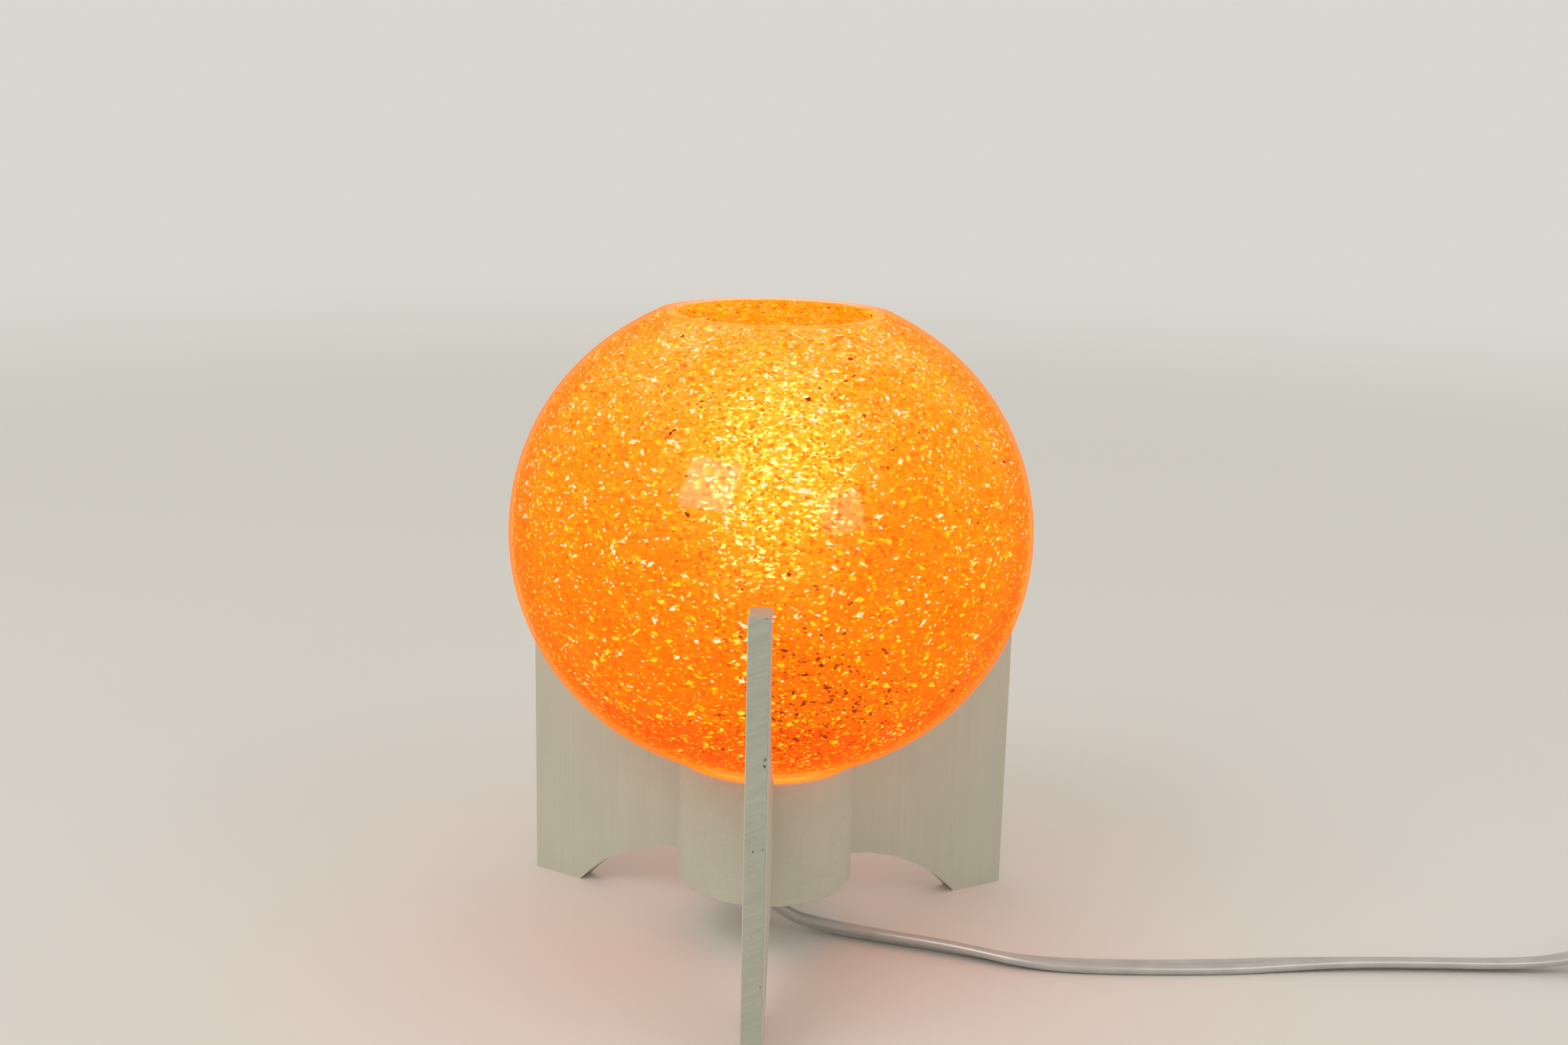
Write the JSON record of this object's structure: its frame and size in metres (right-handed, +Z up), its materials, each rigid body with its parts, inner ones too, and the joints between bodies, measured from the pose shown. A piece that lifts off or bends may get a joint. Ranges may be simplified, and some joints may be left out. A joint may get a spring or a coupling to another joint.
{
  "type": "rocket table lamp",
  "caption": "Small table lamp: a lit orange globe of crushed acrylic stands on a painted cylinder held by painted plywood fins, with a cord, in-line switch and plug.",
  "frame": {"origin": "on the table, on the lamp's vertical axis, midway between the feet of the fins", "axes": "+Z up along the lamp's axis, -Y towards the front fin, +X to the side where the cord leaves"},
  "size_m": [0.4427, 0.204, 0.1898],
  "materials": {
    "painted_hardwood": "turned wood tube under satin grey-green paint",
    "painted_plywood": "plywood under brushed satin grey-green paint",
    "bare_plywood": "unfinished birch plywood",
    "zinc_steel": "zinc-plated steel",
    "brass_fitting": "turned brass",
    "brass_shell": "drawn brass shell, polished",
    "plated_shell": "rolled aluminium screw shell",
    "liner_card": "grey-brown insulating card",
    "black_phenolic": "moulded black phenolic",
    "black_nylon": "moulded black nylon",
    "cord_vinyl": "white vinyl twin cord",
    "frosted_glass": "inside-frosted lamp glass, lit",
    "clear_glass": "clear lead glass",
    "black_bulb_glass": "black moulded glass insulator",
    "tungsten_wire": "coiled tungsten wire",
    "bulb_cap_aluminium": "rolled aluminium screw cap",
    "solder_tip": "solder bead",
    "switch_plastic": "moulded white plastic",
    "rocker_plastic": "moulded white plastic",
    "plug_vinyl": "moulded white vinyl",
    "nickel_blades": "nickel-plated brass blades",
    "clear_orange_acrylic": "clear orange acrylic skin, glossy",
    "crushed_orange_acrylic": "crushed acrylic granules cast into the skin, lit from inside"
  },
  "bodies": {
    "root": {"base_cylinder": "painted_hardwood", "fin_front": "painted_plywood", "fin_right": "painted_plywood", "fin_left": "painted_plywood", "fin_screws": "zinc_steel", "closing_disc": "bare_plywood", "cord_bushing": "black_nylon", "mount_disc": "bare_plywood", "nipple": "zinc_steel", "nipple_washers": "zinc_steel", "nipple_nuts": "brass_fitting", "socket_cap": "brass_shell", "cap_set_screw": "zinc_steel", "socket_shell": "brass_shell", "socket_liner": "liner_card", "socket_block": "black_phenolic", "terminal_screws": "brass_fitting", "screw_shell": "plated_shell", "centre_contact": "brass_fitting", "inner_cord": "cord_vinyl", "lead_wires": "cord_vinyl", "cord_from_lamp": "cord_vinyl", "switch_base": "switch_plastic", "switch_cover": "switch_plastic", "switch_contacts": "brass_fitting", "switch_screws": "zinc_steel", "cord_to_coil": "cord_vinyl", "cord_coil": "cord_vinyl", "cord_to_plug": "cord_vinyl", "plug_body": "plug_vinyl", "plug_blades": "nickel_blades"},
    "globe": {"globe_skin_lower": "clear_orange_acrylic", "globe_skin_upper": "clear_orange_acrylic", "globe_granules": "crushed_orange_acrylic"},
    "bulb_tip": {"bulb_contact": "solder_tip"},
    "bulb": {"bulb_glass": "frosted_glass", "bulb_stem": "clear_glass", "bulb_filament": "tungsten_wire", "bulb_cap": "bulb_cap_aluminium", "bulb_insulator": "black_bulb_glass"},
    "rocker": {"switch_rocker": "rocker_plastic"}
  },
  "joints": [
    {"name": "globe_lift", "type": "slide", "parent": "root", "child": "globe", "axis": [0, 0, 1], "range_m": [0, 0.12]},
    {"name": "bulb_rise", "type": "slide", "parent": "root", "child": "bulb_tip", "axis": [0, 0, 1], "range_m": [0, 0.0146]},
    {"name": "bulb_turn", "type": "hinge", "parent": "bulb_tip", "child": "bulb", "pos_m": [0, 0, 0.0818], "axis": [0, 0, 1], "range_deg": [0, 1440]},
    {"name": "rocker_tilt", "type": "hinge", "parent": "root", "child": "rocker", "pos_m": [0.286, -0.0124, 0.0104], "axis": [0, -1, 0], "range_deg": [0, 18]}
  ],
  "couplings": [
    {"joint": "bulb_rise", "follows": "bulb_turn", "m_per_rad": 0.00057773}
  ]
}
